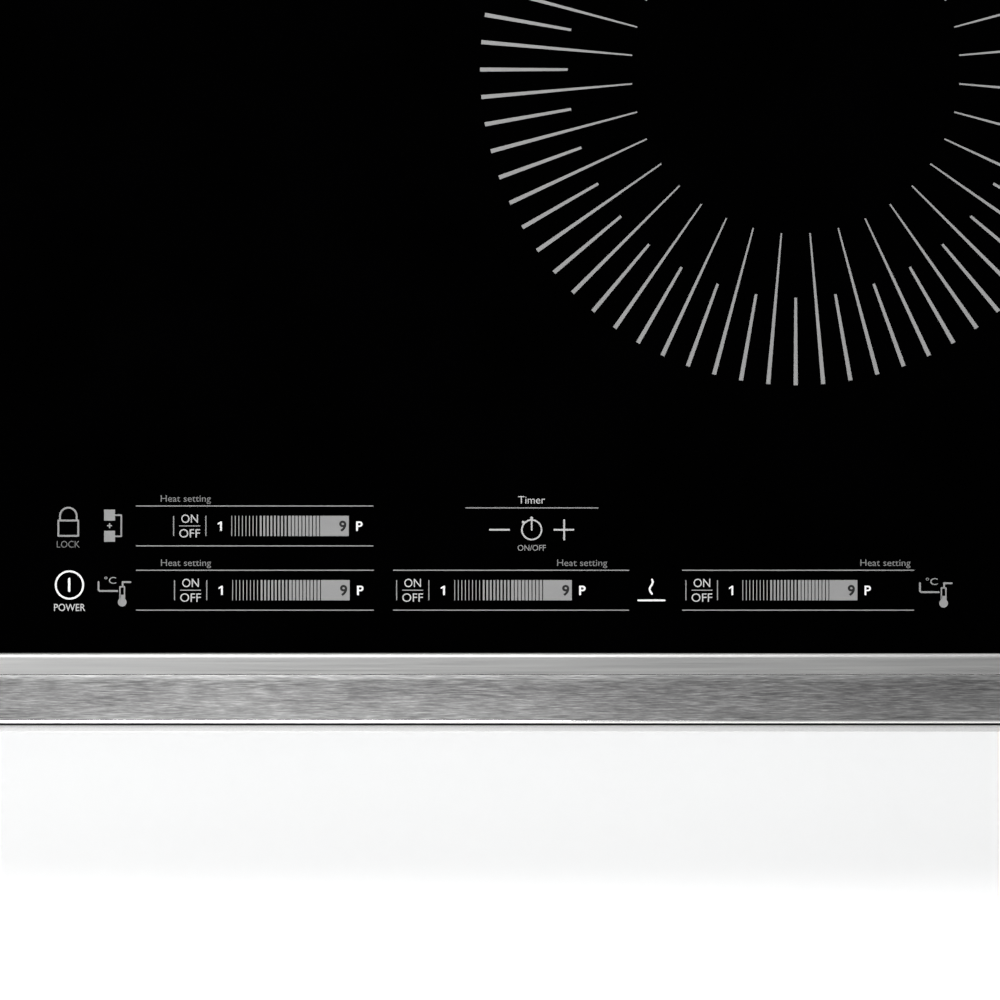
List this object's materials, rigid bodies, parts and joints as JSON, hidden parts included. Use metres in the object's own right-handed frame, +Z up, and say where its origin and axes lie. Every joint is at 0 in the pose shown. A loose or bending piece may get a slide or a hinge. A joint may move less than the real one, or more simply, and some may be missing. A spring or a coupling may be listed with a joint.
{
  "type": "electric induction cooktop",
  "caption": "Built-in induction cooktop: black glass over a steel burner box, sloped brushed-steel front trim, printed touch keys and a large ticked cooking ring.",
  "frame": {"origin": "on the plane of the burner box's feet, under the middle of the top's outline", "axes": "+X to the cook's right, +Y to the rear, +Z up; the control panel faces -Y"},
  "size_m": [0.776, 0.546, 0.1096],
  "materials": {
    "black_glass": "polished black glass-ceramic",
    "brushed_steel": "stainless steel brushed along the trim",
    "foam": "soft black closed-cell foam",
    "galvanised": "dull galvanised sheet steel",
    "aluminium": "mill-finish aluminium",
    "black_plastic": "matt black heat-resistant plastic",
    "copper": "lacquered copper wire",
    "mica": "pressed mica sheet",
    "silicone": "matt red silicone",
    "circuit_board": "green solder-masked laminate",
    "zinc": "bright zinc-plated steel",
    "grey_plastic": "light grey plastic",
    "yellow_film": "glossy yellow film wrap",
    "cable": "black rubber sheath"
  },
  "bodies": {
    "cooktop": {"glass_top": "black_glass", "front_trim": "brushed_steel", "rear_trim": "brushed_steel", "worktop_seal": "foam", "glass_frame": "galvanised", "burner_box": "galvanised", "conduit_bush": "zinc", "terminal_block": "grey_plastic", "coil_shelf": "aluminium", "touch_tray": "black_plastic", "touch_board": "circuit_board", "filter_board": "circuit_board", "supply_lead": "cable", "ribbon_cable": "grey_plastic", "fan_grille_left": "galvanised", "shelf_rail_left": "galvanised", "board_tray_left": "black_plastic", "power_board_left": "circuit_board", "heat_sink_left": "aluminium", "line_choke_left": "copper", "film_capacitor_left": "yellow_film", "fan_housing_left": "black_plastic", "fan_motor_left": "zinc", "clamp_bracket_left": "galvanised", "fan_grille_right": "galvanised", "shelf_rail_right": "galvanised", "board_tray_right": "black_plastic", "power_board_right": "circuit_board", "heat_sink_right": "aluminium", "line_choke_right": "copper", "film_capacitor_right": "yellow_film", "fan_housing_right": "black_plastic", "fan_motor_right": "zinc", "clamp_bracket_right": "galvanised", "coil_former_left_front": "black_plastic", "coil_winding_left_front": "copper", "coil_insulator_left_front": "mica", "coil_lead_left_front": "silicone", "coil_former_left_rear": "black_plastic", "coil_winding_left_rear": "copper", "coil_insulator_left_rear": "mica", "coil_lead_left_rear": "silicone", "coil_former_centre_rear": "black_plastic", "coil_winding_centre_rear": "copper", "coil_insulator_centre_rear": "mica", "coil_lead_centre_rear": "silicone", "coil_former_right": "black_plastic", "coil_winding_right": "copper", "coil_insulator_right": "mica", "coil_lead_right": "silicone"},
    "fan_rotor_left": {"fan_rotor_left": "grey_plastic"},
    "fan_rotor_right": {"fan_rotor_right": "grey_plastic"},
    "pan_sensor_left_front": {"pan_sensor_left_front": "silicone"},
    "pan_sensor_left_rear": {"pan_sensor_left_rear": "silicone"},
    "pan_sensor_centre_rear": {"pan_sensor_centre_rear": "silicone"},
    "pan_sensor_right": {"pan_sensor_right": "silicone"},
    "clamp_pad_left": {"clamp_pad_left": "black_plastic"},
    "clamp_screw_left": {"clamp_screw_left": "zinc"},
    "clamp_pad_right": {"clamp_pad_right": "black_plastic"},
    "clamp_screw_right": {"clamp_screw_right": "zinc"}
  },
  "joints": [
    {"name": "fan_left_spin", "type": "hinge", "parent": "cooktop", "child": "fan_rotor_left", "pos_m": [-0.255, -0.15, 0.02], "axis": [0, 0, 1], "continuous": true},
    {"name": "fan_right_spin", "type": "hinge", "parent": "cooktop", "child": "fan_rotor_right", "pos_m": [0.195, -0.15, 0.02], "axis": [0, 0, 1], "continuous": true},
    {"name": "pan_sensor_left_front_press", "type": "slide", "parent": "cooktop", "child": "pan_sensor_left_front", "axis": [0, 0, 1], "range_m": [-0.0025, 0], "stiffness_N_per_m": 60, "springref_m": 0.004},
    {"name": "pan_sensor_left_rear_press", "type": "slide", "parent": "cooktop", "child": "pan_sensor_left_rear", "axis": [0, 0, 1], "range_m": [-0.0025, 0], "stiffness_N_per_m": 60, "springref_m": 0.004},
    {"name": "pan_sensor_centre_rear_press", "type": "slide", "parent": "cooktop", "child": "pan_sensor_centre_rear", "axis": [0, 0, 1], "range_m": [-0.0025, 0], "stiffness_N_per_m": 60, "springref_m": 0.004},
    {"name": "pan_sensor_right_press", "type": "slide", "parent": "cooktop", "child": "pan_sensor_right", "axis": [0, 0, 1], "range_m": [-0.0025, 0], "stiffness_N_per_m": 60, "springref_m": 0.004},
    {"name": "clamp_left_rise", "type": "slide", "parent": "cooktop", "child": "clamp_pad_left", "axis": [0, 0, 1], "range_m": [0, 0.024]},
    {"name": "clamp_left_turn", "type": "hinge", "parent": "clamp_pad_left", "child": "clamp_screw_left", "pos_m": [-0.374, 0, 0.03], "axis": [0, 0, 1], "range_deg": [0, 5760]},
    {"name": "clamp_right_rise", "type": "slide", "parent": "cooktop", "child": "clamp_pad_right", "axis": [0, 0, 1], "range_m": [0, 0.024]},
    {"name": "clamp_right_turn", "type": "hinge", "parent": "clamp_pad_right", "child": "clamp_screw_right", "pos_m": [0.374, 0, 0.03], "axis": [0, 0, 1], "range_deg": [0, 5760]}
  ],
  "couplings": [
    {"joint": "clamp_left_turn", "follows": "clamp_left_rise", "rad_per_m": 4188.8},
    {"joint": "clamp_right_turn", "follows": "clamp_right_rise", "rad_per_m": 4188.8}
  ]
}
